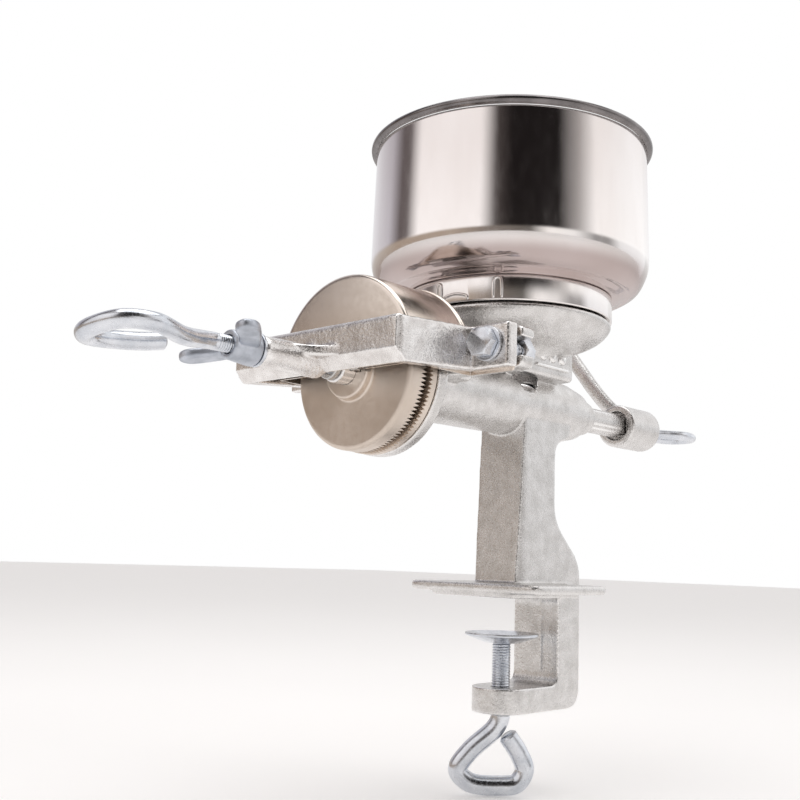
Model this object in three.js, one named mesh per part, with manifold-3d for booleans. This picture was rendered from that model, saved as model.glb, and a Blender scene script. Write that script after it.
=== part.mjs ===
// Hand-cranked grain mill of the table-clamp kind, as an assembly of separate pieces.
// Units are millimetres. +Z is up, the grinding shaft runs along X with its crank at +X, and the
// origin is under the hopper's axis on the face of the foot that rests on the table.

import * as THREE from "three";
import { mergeVertices } from "three/addons/utils/BufferGeometryUtils.js";
import Module from "manifold-3d";

const wasm = await Module();
wasm.setup();

// Driving dimensions
const GAP = 0.3; // clearance between touching pieces
const SHAFT_Z = 112; // height of the shaft's axis
const SHAFT_R = 8;
const ROUND = 32; // sides of a large round piece
const SMALL_ROUND = 16; // sides of a small round piece

const HOPPER = { rimZ: 266, wallTop: 81, wallFoot: 82.4, shoulderZ: 190, sheet: 1.2, bead: 2.4 };
const COLLAR = { radius: 61, top: 173, foot: 159, sheet: 1.4, spigot: 55.5, depth: 4.5 };
const DISH = { radius: 60.7, rimZ: 158.4, footZ: 140, inner: 57.2, throat: 18 };
const NECK = { x0: -19, x1: 33, halfWidth: 26, z0: 126 };
const BARREL = { radius: 18.6, bore: 13.6, x0: -106, x1: 66, snout: 11, snoutX: 79 };
const FLANGE = { radius: 41.5, x0: -106, x1: -99 };
const LUG = { x0: -88, x1: -78, halfSpan: 78, boltY: 66, z: 122.5, halfHeight: 10.5, slot: 4.6 };
const FIXED_BURR = { radius: 41, x0: -113, x1: -106.4, hole: 15, screwZ: 24, teeth: 24, toothRoot: 33 };
const TURNING_BURR = { radius: 40.5, x0: -126, x1: -114.4, boss: 15, bossX: -130.5 };
const GUARD = { radius: 48, x0: -134, x1: -90, sheet: 1.2 };
const YOKE = {
  x0: -155, x1: -147, footZ: 107, height: 21.5, rise: 4.5, // the arms rise from the bridge to the ears
  halfSpan: 58.5, earSpan: 55.6, arm: 6.5, earDepth: 8, boss: 7.8, neck: 7.2,
  bossX: -187, flare: 24, // half the width of the web where it meets the bridge
};
const ADJUSTER_R = 4.1; // the two screws that are bent from one rod each
const CLAMP_SCREW_R = 5.4;
const BOLT = { radius: 3.9, hole: 4.6, flats: 13, headHeight: 6.2, nutHeight: 6.5, washer: 1.6 };
const POST = { top: 102, topX: -2, footX: -8, backX: 28, halfWidth: 15.5 };
const FOOT = { x0: -31, x1: 41, halfWidth: 46, top: 7.6, step: 2.4, corner: 7 };
const CLAMP = { spineX: 32.5, backX: 54.5, halfWidth: 17, jawTop: -50, jawFoot: -64 };
const PAD = { radius: 21, z0: -26, z1: -20.4 };
const CRANK = { x0: 119, x1: 158, hub: 14.2, gripY: 92, gripZ: 220 };
const GRIP = { radius: 13, length: 84, pin: 3.9, bore: 4.3 };

// Materials
const finish = (color, metalness, roughness) =>
  new THREE.MeshStandardMaterial({ color, metalness, roughness });
const tinned = finish(0xc9c6c4, 0.9, 0.42);
const polished = finish(0xd9d2cc, 1, 0.14);
const groundTin = finish(0xb2a496, 0.85, 0.35);
const zinc = finish(0xb6bcc6, 0.95, 0.3);
const steel = finish(0xa8a8aa, 1, 0.35);
const wood = finish(0x8a5a34, 0, 0.6);

// Solids and booleans
function solid(geometry) {
  const bare = geometry.clone();
  bare.deleteAttribute("normal");
  bare.deleteAttribute("uv");
  const merged = mergeVertices(bare, 1e-4);
  const vertProperties = new Float32Array(merged.attributes.position.array);
  const triVerts = new Uint32Array(merged.index.array);
  return new wasm.Manifold(new wasm.Mesh({ numProp: 3, vertProperties, triVerts }));
}

function geometryOf(body) {
  const mesh = body.getMesh();
  const geometry = new THREE.BufferGeometry();
  geometry.setAttribute("position", new THREE.BufferAttribute(mesh.vertProperties, 3));
  geometry.setIndex(new THREE.BufferAttribute(mesh.triVerts, 1));
  geometry.computeVertexNormals();
  return geometry;
}

const inOrder = (a, b) => [Math.min(a, b), Math.max(a, b)];
const union = (...bodies) => bodies.reduce((sum, body) => sum.add(body));
const cut = (body, ...tools) => tools.reduce((rest, tool) => rest.subtract(tool), body);

function box(x0, x1, y0, y1, z0, z1) {
  const geometry = new THREE.BoxGeometry(x1 - x0, y1 - y0, z1 - z0);
  return solid(geometry.translate((x0 + x1) / 2, (y0 + y1) / 2, (z0 + z1) / 2));
}

// A solid turned about Z from [radius, height] pairs that start and end on the axis, or close.
function turned(profile, sides = ROUND) {
  const points = profile.map(([r, z]) => new THREE.Vector2(r, z));
  return solid(new THREE.LatheGeometry(points, sides).rotateX(Math.PI / 2));
}

// The same about the X axis through (y, z): pairs are [radius, x], from low x to high x.
function turnedX(profile, y = 0, z = SHAFT_Z, sides = ROUND) {
  const points = profile.map(([r, x]) => new THREE.Vector2(r, x));
  const geometry = new THREE.LatheGeometry(points, sides).rotateZ(-Math.PI / 2);
  return solid(geometry.translate(0, y, z));
}

function barX(radius, x0, x1, y = 0, z = SHAFT_Z, sides = SMALL_ROUND) {
  return turnedX([[0, x0], [radius, x0], [radius, x1], [0, x1]], y, z, sides);
}

function barZ(radius, z0, z1, x = 0, y = 0, sides = SMALL_ROUND) {
  return turned([[0, z0], [radius, z0], [radius, z1], [0, z1]], sides).translate([x, y, 0]);
}

function barY(radius, halfLength, x, z, sides = SMALL_ROUND) {
  return barZ(radius, -halfLength, halfLength, 0, 0, sides).rotate([90, 0, 0]).translate([x, 0, z]);
}

function ringX(outer, inner, x0, x1, y = 0, z = SHAFT_Z, sides = ROUND) {
  return turnedX([[inner, x0], [outer, x0], [outer, x1], [inner, x1], [inner, x0]], y, z, sides);
}

const extruded = (shape, depth, curveSegments) =>
  new THREE.ExtrudeGeometry(shape, { depth, bevelEnabled: false, curveSegments });

// A flat outline in the XZ plane, given a thickness from y0 to y1.
function slabXZ(shape, y0, y1, curveSegments = 6) {
  return solid(extruded(shape, y1 - y0, curveSegments).rotateX(Math.PI / 2).translate(0, y1, 0));
}

// A flat outline in the XY plane, given a thickness from z0 to z1.
function slabXY(shape, z0, z1, curveSegments = 6) {
  return solid(extruded(shape, z1 - z0, curveSegments).translate(0, 0, z0));
}

// A flat outline in the YZ plane, given a thickness from x0 to x1.
function slabYZ(shape, x0, x1, curveSegments = 6) {
  const geometry = extruded(shape, x1 - x0, curveSegments);
  return solid(geometry.rotateX(Math.PI / 2).rotateZ(Math.PI / 2).translate(x0, 0, 0));
}

function roundedRectangle(u0, u1, v0, v1, r) {
  const shape = new THREE.Shape();
  shape.moveTo(u0 + r, v0);
  shape.lineTo(u1 - r, v0);
  shape.absarc(u1 - r, v0 + r, r, -Math.PI / 2, 0, false);
  shape.lineTo(u1, v1 - r);
  shape.absarc(u1 - r, v1 - r, r, 0, Math.PI / 2, false);
  shape.lineTo(u0 + r, v1);
  shape.absarc(u0 + r, v1 - r, r, Math.PI / 2, Math.PI, false);
  shape.lineTo(u0, v0 + r);
  shape.absarc(u0 + r, v0 + r, r, Math.PI, 1.5 * Math.PI, false);
  return shape;
}

// A rod of a round section along a smooth curve through the points.
function rod(points, radius, steps) {
  const knots = points.map((p) => new THREE.Vector3(...p));
  const path = new THREE.CatmullRomCurve3(knots, false, "centripetal");
  const section = new THREE.Shape();
  section.absellipse(0, 0, radius, radius, 0, 2 * Math.PI, false, 0);
  const options = { steps, extrudePath: path, curveSegments: 5 }; // a whole circle gets twice as many
  return solid(new THREE.ExtrudeGeometry(section, options));
}

function hexX(acrossFlats, x0, x1, y, z) {
  return barX(acrossFlats / Math.sqrt(3), x0, x1, y, z, 6);
}

const object = new THREE.Group();
function place(name, body, material) {
  const mesh = new THREE.Mesh(geometryOf(body), material);
  mesh.name = name;
  object.add(mesh);
}

// Casting: feed dish, neck, barrel, burr flange and the two bolt lugs
function millBody() {
  const { radius, rimZ, footZ, inner, throat } = DISH;
  const dish = turned([
    [0, footZ - 6], [25, footZ - 6], [32, footZ + 1], [46, footZ + 5], [55, footZ + 9],
    [radius, footZ + 14.5], [radius, rimZ], [0, rimZ],
  ]);
  const hollow = turned([
    [0, 110], [throat, 110], [throat, footZ + 2], [50, footZ + 9], [inner, footZ + 14], [inner, rimZ + 1],
    [0, rimZ + 1],
  ]);
  const neckShape = roundedRectangle(NECK.x0, NECK.x1, -NECK.halfWidth, NECK.halfWidth, 5);
  const neck = slabXY(neckShape, NECK.z0, footZ + 4, 3);
  const barrel = turnedX([
    [0, BARREL.x0], [BARREL.radius, BARREL.x0], [BARREL.radius, BARREL.x1 - 18],
    [BARREL.radius - 3.4, BARREL.x1], [BARREL.snout, BARREL.x1], [BARREL.snout, BARREL.snoutX],
    [0, BARREL.snoutX],
  ]);
  const flange = barX(FLANGE.radius, FLANGE.x0, FLANGE.x1, 0, SHAFT_Z, ROUND);
  const { x0, x1, halfSpan, boltY, z, halfHeight, slot: halfSlot } = LUG;
  const lugShape = roundedRectangle(-halfSpan, halfSpan, z - halfHeight, z + halfHeight, 4);
  const lugs = slabYZ(lugShape, x0, x1, 3);
  const lugRoot = box(x1 - 1, x1 + 12, -30, 30, z - halfHeight, z + halfHeight - 2);
  const slots = [-1, 1].map((side) => {
    const [y0, y1] = inOrder(side * boltY, side * (halfSpan + 1));
    const slot = box(x0 - 1, x1 + 1, y0, y1, z - halfSlot, z + halfSlot);
    return slot.add(barX(halfSlot, x0 - 1, x1 + 1, side * boltY, z));
  });
  const bore = barX(BARREL.bore, BARREL.x0 - 1, 50, 0, SHAFT_Z, ROUND);
  const journal = barX(SHAFT_R + GAP, 49, BARREL.snoutX + 1);
  const spout = barX(FLANGE.radius - 26, FLANGE.x0 - 1, FLANGE.x1 + 4);
  return cut(union(dish, neck, barrel, flange, lugs, lugRoot), hollow, bore, journal, spout, ...slots);
}

// Casting: post, foot plate and C-clamp
function clampPost() {
  const side = new THREE.Shape();
  side.moveTo(POST.topX, POST.top);
  side.lineTo(POST.footX, 1);
  side.lineTo(CLAMP.spineX, 1);
  side.lineTo(CLAMP.spineX, CLAMP.jawTop + 6);
  side.quadraticCurveTo(CLAMP.spineX, CLAMP.jawTop, CLAMP.spineX - 6, CLAMP.jawTop);
  side.lineTo(-CLAMP.halfWidth, CLAMP.jawTop);
  side.lineTo(-CLAMP.halfWidth, CLAMP.jawFoot);
  side.lineTo(CLAMP.backX - 12, CLAMP.jawFoot);
  side.quadraticCurveTo(CLAMP.backX, CLAMP.jawFoot, CLAMP.backX, CLAMP.jawFoot + 12);
  side.lineTo(CLAMP.backX, 14);
  side.quadraticCurveTo(CLAMP.backX - 2, 30, POST.backX, 44);
  side.lineTo(POST.backX, POST.top);
  const upright = slabXZ(side, -CLAMP.halfWidth, CLAMP.halfWidth, 5);
  // The post is slimmer than the clamp, and the jaw's end is round.
  const plan = new THREE.Shape();
  plan.moveTo(0, -CLAMP.halfWidth);
  plan.lineTo(CLAMP.backX + 1, -CLAMP.halfWidth);
  plan.lineTo(CLAMP.backX + 1, CLAMP.halfWidth);
  plan.lineTo(0, CLAMP.halfWidth);
  plan.absarc(0, 0, CLAMP.halfWidth, Math.PI / 2, 1.5 * Math.PI, false);
  const trimmed = upright.intersect(slabXY(plan, CLAMP.jawFoot - 1, POST.top + 1, 10));
  const shaved = [-1, 1].map((sign) => {
    const [y0, y1] = inOrder(sign * POST.halfWidth, sign * (CLAMP.halfWidth + 1));
    return box(-20, 60, y0, y1, 26, POST.top + 1);
  });
  const footShape = roundedRectangle(FOOT.x0, FOOT.x1, -FOOT.halfWidth, FOOT.halfWidth, FOOT.corner);
  const foot = slabXY(footShape, FOOT.step, FOOT.top, 4);
  const landShape = roundedRectangle(FOOT.x0 + 2, CLAMP.spineX + 2, -30, 30, 5);
  const land = slabXY(landShape, 0, FOOT.step + 0.5, 4);
  const barrelSeat = barX(BARREL.radius + GAP, -40, 60, 0, SHAFT_Z, ROUND);
  const screwHole = barZ(CLAMP_SCREW_R + GAP, CLAMP.jawFoot - 1, CLAMP.jawTop + 1);
  return cut(union(cut(trimmed, ...shaved), foot, land), barrelSeat, screwHole);
}

// Sheet-metal bowl with a rolled rim and an open bottom
function hopperBowl() {
  const { rimZ, wallTop, wallFoot, shoulderZ, sheet, bead } = HOPPER;
  const neck = COLLAR.radius + 1;
  const neckZ = COLLAR.top + GAP;
  return union(
    turned([
      [neck - 6, neckZ], [neck, neckZ], [neck + 11, neckZ + 4], [wallFoot - 4, shoulderZ - 8],
      [wallFoot, shoulderZ], [wallTop, rimZ - bead], [wallTop, rimZ], [wallTop - sheet, rimZ],
      [wallTop - sheet, rimZ - bead], [wallFoot - sheet, shoulderZ], [wallFoot - 5.2, shoulderZ - 7.2],
      [neck + 10, neckZ + 5.2], [neck, neckZ + sheet], [neck - 6, neckZ + sheet], [neck - 6, neckZ],
    ]),
    rimBead(wallTop + bead - sheet, rimZ - bead, bead),
  );
}

function rimBead(ringRadius, z, r) {
  const corners = 6;
  const profile = Array.from({ length: corners + 1 }, (_, i) => {
    const angle = (2 * Math.PI * (i % corners)) / corners;
    return [ringRadius + r * Math.cos(angle), z + r * Math.sin(angle)];
  });
  return turned(profile);
}

// Band under the bowl, with a spigot that stands inside the dish
function hopperCollar() {
  const { radius, top, foot, sheet, spigot, depth } = COLLAR;
  return turned([
    [spigot - sheet, foot - depth], [spigot, foot - depth], [spigot, foot], [radius, foot], [radius, top],
    [radius - sheet, top], [radius - sheet, foot + sheet], [spigot - sheet, foot + sheet],
    [spigot - sheet, foot - depth],
  ]);
}

// Hood over the upper half of the burrs, with a tab under each yoke bolt
function burrGuard() {
  const { radius, x0, x1, sheet } = GUARD;
  const drum = cut(
    barX(radius, x0, x1, 0, SHAFT_Z, ROUND),
    barX(radius - sheet, x0 + sheet, x1 + 1, 0, SHAFT_Z, ROUND),
    barX(17, x0 - 1, x0 + 3),
    box(x0 - 1, x1 + 1, -radius - 1, radius + 1, SHAFT_Z - radius - 1, SHAFT_Z - 2),
  );
  const tabs = [-1, 1].map((side) => {
    const [y0, y1] = inOrder(side * (radius - 1), side * (LUG.halfSpan - 3));
    const tab = box(x1 - sheet, x1, y0, y1, SHAFT_Z - 2, LUG.z + LUG.halfHeight);
    return cut(tab, barX(BOLT.hole, x1 - 3, x1 + 1, side * LUG.boltY, LUG.z));
  });
  return union(drum, ...tabs);
}

// Radial grooves cut in a burr's face
function grooves(count, inner, outer, x0, x1) {
  return Array.from({ length: count }, (_, i) => {
    const groove = box(x0, x1, -1.6, 1.6, inner, outer);
    return groove.rotate([(360 * i) / count, 0, 0]).translate([0, 0, SHAFT_Z]);
  });
}

function fixedBurr() {
  const { radius, x0, x1, hole, screwZ, teeth, toothRoot } = FIXED_BURR;
  const screwHole = [
    [0, x0 - 1], [5.3, x0 - 1], [5.3, x0 + 1], [3.3, x0 + 4.8], [3.3, x1 + 1], [0, x1 + 1],
  ];
  const screwHoles = [-1, 1].map((side) => turnedX(screwHole, 0, SHAFT_Z + side * screwZ, 12));
  const disc = ringX(radius, hole, x0, x1);
  return cut(disc, ...grooves(teeth, toothRoot, radius + 1, x0 - 1, x0 + 1.6), ...screwHoles);
}

function turningBurr() {
  const { radius, x0, x1, boss, bossX } = TURNING_BURR;
  const disc = turnedX([
    [0, bossX], [boss, bossX], [boss, x0], [radius - 1.5, x0], [radius, x0 + 1.5], [radius, x1], [0, x1],
  ]);
  const { teeth, toothRoot } = FIXED_BURR;
  const dished = turnedX([[0, x1 - 3], [24, x1 - 3], [toothRoot, x1 + 1], [0, x1 + 1]]);
  const bore = barX(SHAFT_R + GAP, bossX - 1, x1 + 1);
  const pinSlot = box(bossX - 1, bossX + 2.6, -boss - 1, boss + 1, SHAFT_Z - 2.8, SHAFT_Z + 2.8);
  return cut(disc, dished, bore, pinSlot, ...grooves(teeth, toothRoot, radius + 1, x1 - 1.6, x1 + 1));
}

// Auger flight: a band of a constant section wound round the shaft
function augerFlight(x0, x1, inner, outer, pitch, thickness) {
  const perTurn = 12;
  const count = Math.round((perTurn * (x1 - x0)) / pitch);
  const positions = [];
  const indices = [];
  for (let i = 0; i <= count; i++) {
    const x = x0 + ((x1 - x0) * i) / count;
    const angle = (2 * Math.PI * i) / perTurn;
    const corners = [[inner, -1], [outer, -1], [outer, 1], [inner, 1]];
    for (const [r, side] of corners)
      positions.push(x + (side * thickness) / 2, r * Math.cos(angle), r * Math.sin(angle));
  }
  for (let i = 0; i < count; i++)
    for (let j = 0; j < 4; j++) {
      const a = 4 * i + j;
      const b = 4 * i + ((j + 1) % 4);
      indices.push(a, b + 4, b, a, a + 4, b + 4);
    }
  const last = 4 * count;
  indices.push(0, 1, 2, 0, 2, 3, last, last + 2, last + 1, last, last + 3, last + 2);
  const geometry = new THREE.BufferGeometry();
  geometry.setAttribute("position", new THREE.Float32BufferAttribute(positions, 3));
  geometry.setIndex(indices);
  const flight = solid(geometry);
  return flight.translate([0, 0, SHAFT_Z]);
}

const DRIVE_PIN_X = -134;
function feedAuger() {
  const shaft = barX(SHAFT_R, -139, CRANK.x0 - 1);
  const squareEnd = box(CRANK.x0 - 2, CRANK.x1 - 3, -5.5, 5.5, SHAFT_Z - 5.5, SHAFT_Z + 5.5);
  const collar = barX(13, 42, 47.5);
  const flight = augerFlight(-97, 38, SHAFT_R - 1.7, 13, 34, 3.2);
  const pinHole = barY(2.5, SHAFT_R + 1, DRIVE_PIN_X, SHAFT_Z);
  const screwHole = barX(3.4, CRANK.x1 - 26, CRANK.x1);
  return cut(union(shaft, squareEnd, collar, flight), pinHole, screwHole);
}

const drivePin = () => barY(2.2, 13, DRIVE_PIN_X, SHAFT_Z, 12);

// Bridge that carries the adjusting screw in front of the burrs, with an arm and an ear on each side
const EAR_X = LUG.x0 - GUARD.sheet - 2.3; // the ears lie on the guard's tabs
function yokeArm(side) {
  const { x0, x1, footZ, height, rise, halfSpan, earSpan, arm: thick, earDepth } = YOKE;
  const arm = new THREE.Shape();
  arm.moveTo(x0, side * (halfSpan - thick));
  arm.lineTo(x0, side * (halfSpan - 2));
  arm.lineTo(x0 + 2, side * halfSpan);
  arm.lineTo(EAR_X - earDepth, side * earSpan);
  arm.lineTo(EAR_X - earDepth, side * LUG.halfSpan);
  arm.lineTo(EAR_X, side * LUG.halfSpan);
  arm.lineTo(EAR_X, side * (earSpan - thick));
  arm.lineTo(x1, side * (halfSpan - thick));
  const slope = rise / (EAR_X - x1);
  const climb = new THREE.Matrix4().set(1, 0, 0, 0, 0, 1, 0, 0, slope, 0, 1, footZ - slope * x1, 0, 0, 0, 1);
  const body = solid(extruded(arm, height, 1).applyMatrix4(climb));
  return cut(body, barX(BOLT.hole, EAR_X - earDepth - 1, EAR_X + 2, side * LUG.boltY, LUG.z));
}

function yoke() {
  const { x0, x1, footZ, height, halfSpan, boss, neck, bossX, flare } = YOKE;
  const bridge = new THREE.Shape();
  bridge.moveTo(x0, footZ + 5.7);
  bridge.lineTo(x1 - 2, footZ);
  bridge.lineTo(x1, footZ);
  bridge.lineTo(x1, footZ + height);
  bridge.lineTo(x0 + 1.5, footZ + height);
  bridge.lineTo(x0, footZ + height - 2);
  const web = new THREE.Shape();
  web.moveTo(x1, -flare);
  web.lineTo(x1, flare);
  web.lineTo(x0, flare);
  web.quadraticCurveTo(x0 - 4, 11, x0 - 16, neck - 1);
  web.lineTo(x0 - 16, -neck + 1);
  web.quadraticCurveTo(x0 - 4, -11, x0, -flare);
  const bossBody = turnedX([[0, bossX], [neck, bossX], [boss, x0], [boss, x1], [0, x1]]);
  const body = union(
    slabXZ(bridge, -halfSpan, halfSpan), slabXY(web, SHAFT_Z - 5, SHAFT_Z + 5),
    yokeArm(-1), yokeArm(1), bossBody,
  );
  return cut(body, barX(ADJUSTER_R + GAP, bossX - 1, x1 + 1));
}

const ADJUSTER_TIP = -143.3;
const thrustPad = () => barX(7, ADJUSTER_TIP + GAP, -139 - GAP);

// Screw bent from one rod: threaded straight part, then an open finger loop
function adjustingScrew() {
  const z = SHAFT_Z;
  return rod([
    [ADJUSTER_TIP, 0, z], [-160, 0, z], [-210, 0, z], [-213, 0, z], [-221, -3, z - 1], [-236, -11, z - 3],
    [-255, -18, z - 1.6], [-267, -13, z - 2], [-273, 0, z - 5], [-268, 12, z - 5.5], [-256, 17, z - 4.5],
    [-240, 16, z - 3], [-228, 14, z - 1],
  ], ADJUSTER_R, 38);
}

function lockWasher() {
  return ringX(8.2, ADJUSTER_R + GAP, YOKE.bossX - GAP - 1.6, YOKE.bossX - GAP, 0, SHAFT_Z, 24);
}

const WING_NUT_X = YOKE.bossX - 2 * GAP - 1.6;
function wingNut() {
  const hub = turnedX([
    [0, WING_NUT_X - 15], [6.8, WING_NUT_X - 15], [8.2, WING_NUT_X - 2], [8.2, WING_NUT_X], [0, WING_NUT_X],
  ], 0, SHAFT_Z, 20);
  const wings = [-1, 1].map((side) => {
    const wing = new THREE.Shape();
    wing.moveTo(WING_NUT_X - 2, side * 6);
    wing.lineTo(WING_NUT_X - 12, side * 6);
    wing.lineTo(WING_NUT_X - 25, side * 19);
    wing.quadraticCurveTo(WING_NUT_X - 24, side * 27, WING_NUT_X - 15, side * 24);
    return slabXY(wing, SHAFT_Z - 2.4, SHAFT_Z + 2.4, 5);
  });
  const turnedUp = union(hub, ...wings).translate([0, 0, -SHAFT_Z]).rotate([-12, 0, 0]);
  const bore = barX(ADJUSTER_R + GAP, WING_NUT_X - 17, WING_NUT_X + 1);
  return cut(turnedUp.translate([0, 0, SHAFT_Z]), bore);
}

// Bolts that hold the yoke and the guard to the lugs
function placeYokeBolts() {
  const { radius, flats, headHeight, nutHeight, washer } = BOLT;
  const washerX = EAR_X - YOKE.earDepth - GAP;
  const headX = washerX - washer - GAP;
  const nutX = LUG.x1 + GAP;
  for (const [label, side] of Object.entries({ near: -1, far: 1 })) {
    const y = side * LUG.boltY;
    const head = hexX(flats, headX - headHeight, headX, y, LUG.z);
    const shank = barX(radius, headX - 1, nutX + nutHeight + 5.5, y, LUG.z);
    const nutBore = barX(radius + GAP, nutX - 1, nutX + nutHeight + 1, y, LUG.z);
    place(`yoke_bolt_${label}`, union(head, shank), zinc);
    place(`yoke_washer_${label}`, ringX(8.6, radius + GAP, washerX - washer, washerX, y, LUG.z, 24), zinc);
    place(`yoke_nut_${label}`, cut(hexX(flats, nutX, nutX + nutHeight, y, LUG.z), nutBore), zinc);
  }
}

// Screws that hold the fixed burr to the flange
function placeBurrScrews() {
  for (const [label, side] of Object.entries({ upper: 1, lower: -1 })) {
    const { x0, x1, screwZ } = FIXED_BURR;
    const profile = [[0, x0 + 0.6], [4.7, x0 + 0.6], [3, x0 + 4.2], [3, x1], [0, x1]];
    const screw = turnedX(profile, 0, SHAFT_Z + side * screwZ, 12);
    place(`burr_screw_${label}`, screw, steel);
  }
}

// Crank: split hub with a recess for the shaft, and a curved arm
function crankArm() {
  const { x0, x1, hub, gripY, gripZ } = CRANK;
  const hubBody = turnedX([
    [0, x0], [hub - 1.5, x0], [hub, x0 + 1.5], [hub, x1 - 5], [hub - 4, x1], [0, x1],
  ]);
  const arm = rod([
    [134, 4, SHAFT_Z + 6], [130, 17, SHAFT_Z + 20], [128, 36, SHAFT_Z + 45], [130, 63, SHAFT_Z + 80],
    [135, gripY - 6, gripZ - 8], [137, gripY, gripZ],
  ], 4.4, 14);
  const eye = barX(10, 130, 144, gripY, gripZ);
  const recess = barX(SHAFT_R + 1.6, x0 - 1, x0 + 3);
  const square = box(x0 + 2, x1 - 2, -5.8, 5.8, SHAFT_Z - 5.8, SHAFT_Z + 5.8);
  const screwHole = barX(4.4, x1 - 4, x1 + 1);
  return cut(
    union(hubBody, arm, eye), recess, barX(SHAFT_R + GAP, x0 + 2, x0 + 3.3), square, screwHole,
    barX(GRIP.bore, 129, 145, gripY, gripZ),
  );
}

// Thumb screw into the shaft's end: rod with a flat finger loop
function crankScrew() {
  const x = CRANK.x1 + GAP;
  const z = SHAFT_Z;
  const loop = rod([
    [x - 22, 0, z], [x - 4, 0, z], [x + 10, 0, z], [x + 20, -5, z], [x + 32, -12, z], [x + 46, -10, z],
    [x + 51, 0, z], [x + 46, 10, z], [x + 32, 12, z], [x + 22, 7, z],
  ], 3.2, 30);
  const shoulder = ringX(7, 2, x + 2 * GAP + 1.5, x + 4.6, 0, z, 20);
  return union(loop, shoulder);
}

const crankWasher = () => ringX(8.5, 3.5, CRANK.x1 + GAP, CRANK.x1 + GAP + 1.5, 0, SHAFT_Z, 24);

// Handle: a wooden grip that turns on a headed pin
const GRIP_X0 = 144.6;
const GRIP_X1 = GRIP_X0 + GRIP.length;
function gripHandle() {
  const { radius } = GRIP;
  const { gripY, gripZ } = CRANK;
  const body = turnedX([
    [0, GRIP_X0], [radius - 4, GRIP_X0], [radius - 2, GRIP_X0 + 3], [radius - 2.5, GRIP_X0 + 16],
    [radius, GRIP_X0 + 42], [radius - 1, GRIP_X0 + 68], [radius - 5, GRIP_X1 - 3], [radius - 8, GRIP_X1],
    [0, GRIP_X1],
  ], gripY, gripZ, 28);
  const bore = barX(GRIP.bore, GRIP_X0 - 1, GRIP_X1 + 1, gripY, gripZ);
  return cut(body, bore, barX(7.4, GRIP_X1 - 5, GRIP_X1 + 1, gripY, gripZ));
}

function gripPin() {
  const { gripY, gripZ } = CRANK;
  return union(
    barX(GRIP.pin, 121.5, GRIP_X1 - 4.6, gripY, gripZ),
    barX(6.6, GRIP_X1 - 4.7, GRIP_X1 - 1.5, gripY, gripZ),
  );
}

function gripNut() {
  const { gripY, gripZ } = CRANK;
  return cut(hexX(12, 123.2, 129.6, gripY, gripZ), barX(GRIP.pin + GAP, 122, 131, gripY, gripZ));
}

// Clamp screw with its cupped pad
function clampPad() {
  const { radius, z0, z1 } = PAD;
  return turned([
    [0, z0 + 2], [6, z0 + 2], [7.5, z0], [10, z0], [radius, z1 - 1.6], [radius, z1], [radius - 1.5, z1],
    [9, z0 + 3.6], [0, z0 + 3.6],
  ], 32);
}

function clampScrew() {
  const top = PAD.z0 + 2 - GAP;
  return rod([
    [0, 0, top], [0, 0, -45], [0, 0, -60], [0, 0, -67], [-2, 2, -73], [-12, 12, -86], [-16.5, 16.5, -96],
    [-12, 12, -102.5], [0, 0, -104], [7, -7, -102.5], [10, -10, -95], [7.5, -7.5, -86], [1.5, -3.5, -76],
  ], CLAMP_SCREW_R, 40);
}

place("mill_body", millBody(), tinned);
place("clamp_post", clampPost(), tinned);
place("hopper_bowl", hopperBowl(), polished);
place("hopper_collar", hopperCollar(), polished);
place("burr_guard", burrGuard(), polished);
place("fixed_burr", fixedBurr(), groundTin);
placeBurrScrews();
place("turning_burr", turningBurr(), groundTin);
place("feed_auger", feedAuger(), tinned);
place("drive_pin", drivePin(), steel);
place("thrust_pad", thrustPad(), steel);
place("yoke", yoke(), tinned);
placeYokeBolts();
place("adjusting_screw", adjustingScrew(), zinc);
place("lock_washer", lockWasher(), zinc);
place("wing_nut", wingNut(), zinc);
place("crank_arm", crankArm(), tinned);
place("crank_washer", crankWasher(), zinc);
place("crank_screw", crankScrew(), zinc);
place("grip_handle", gripHandle(), wood);
place("grip_pin", gripPin(), zinc);
place("grip_nut", gripNut(), zinc);
place("clamp_pad", clampPad(), zinc);
place("clamp_screw", clampScrew(), zinc);

export default object;
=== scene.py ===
# Looks of a hand-cranked grain mill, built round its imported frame.
# The frame is in metres. Sizes here are in millimetres, and build() turns them into metres.
# +Z is up, the shaft runs along X with the crank at +X, and Z = 0 is the face that rests on the table.

import math

import bmesh
import bpy
from mathutils import Matrix, Vector


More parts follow.
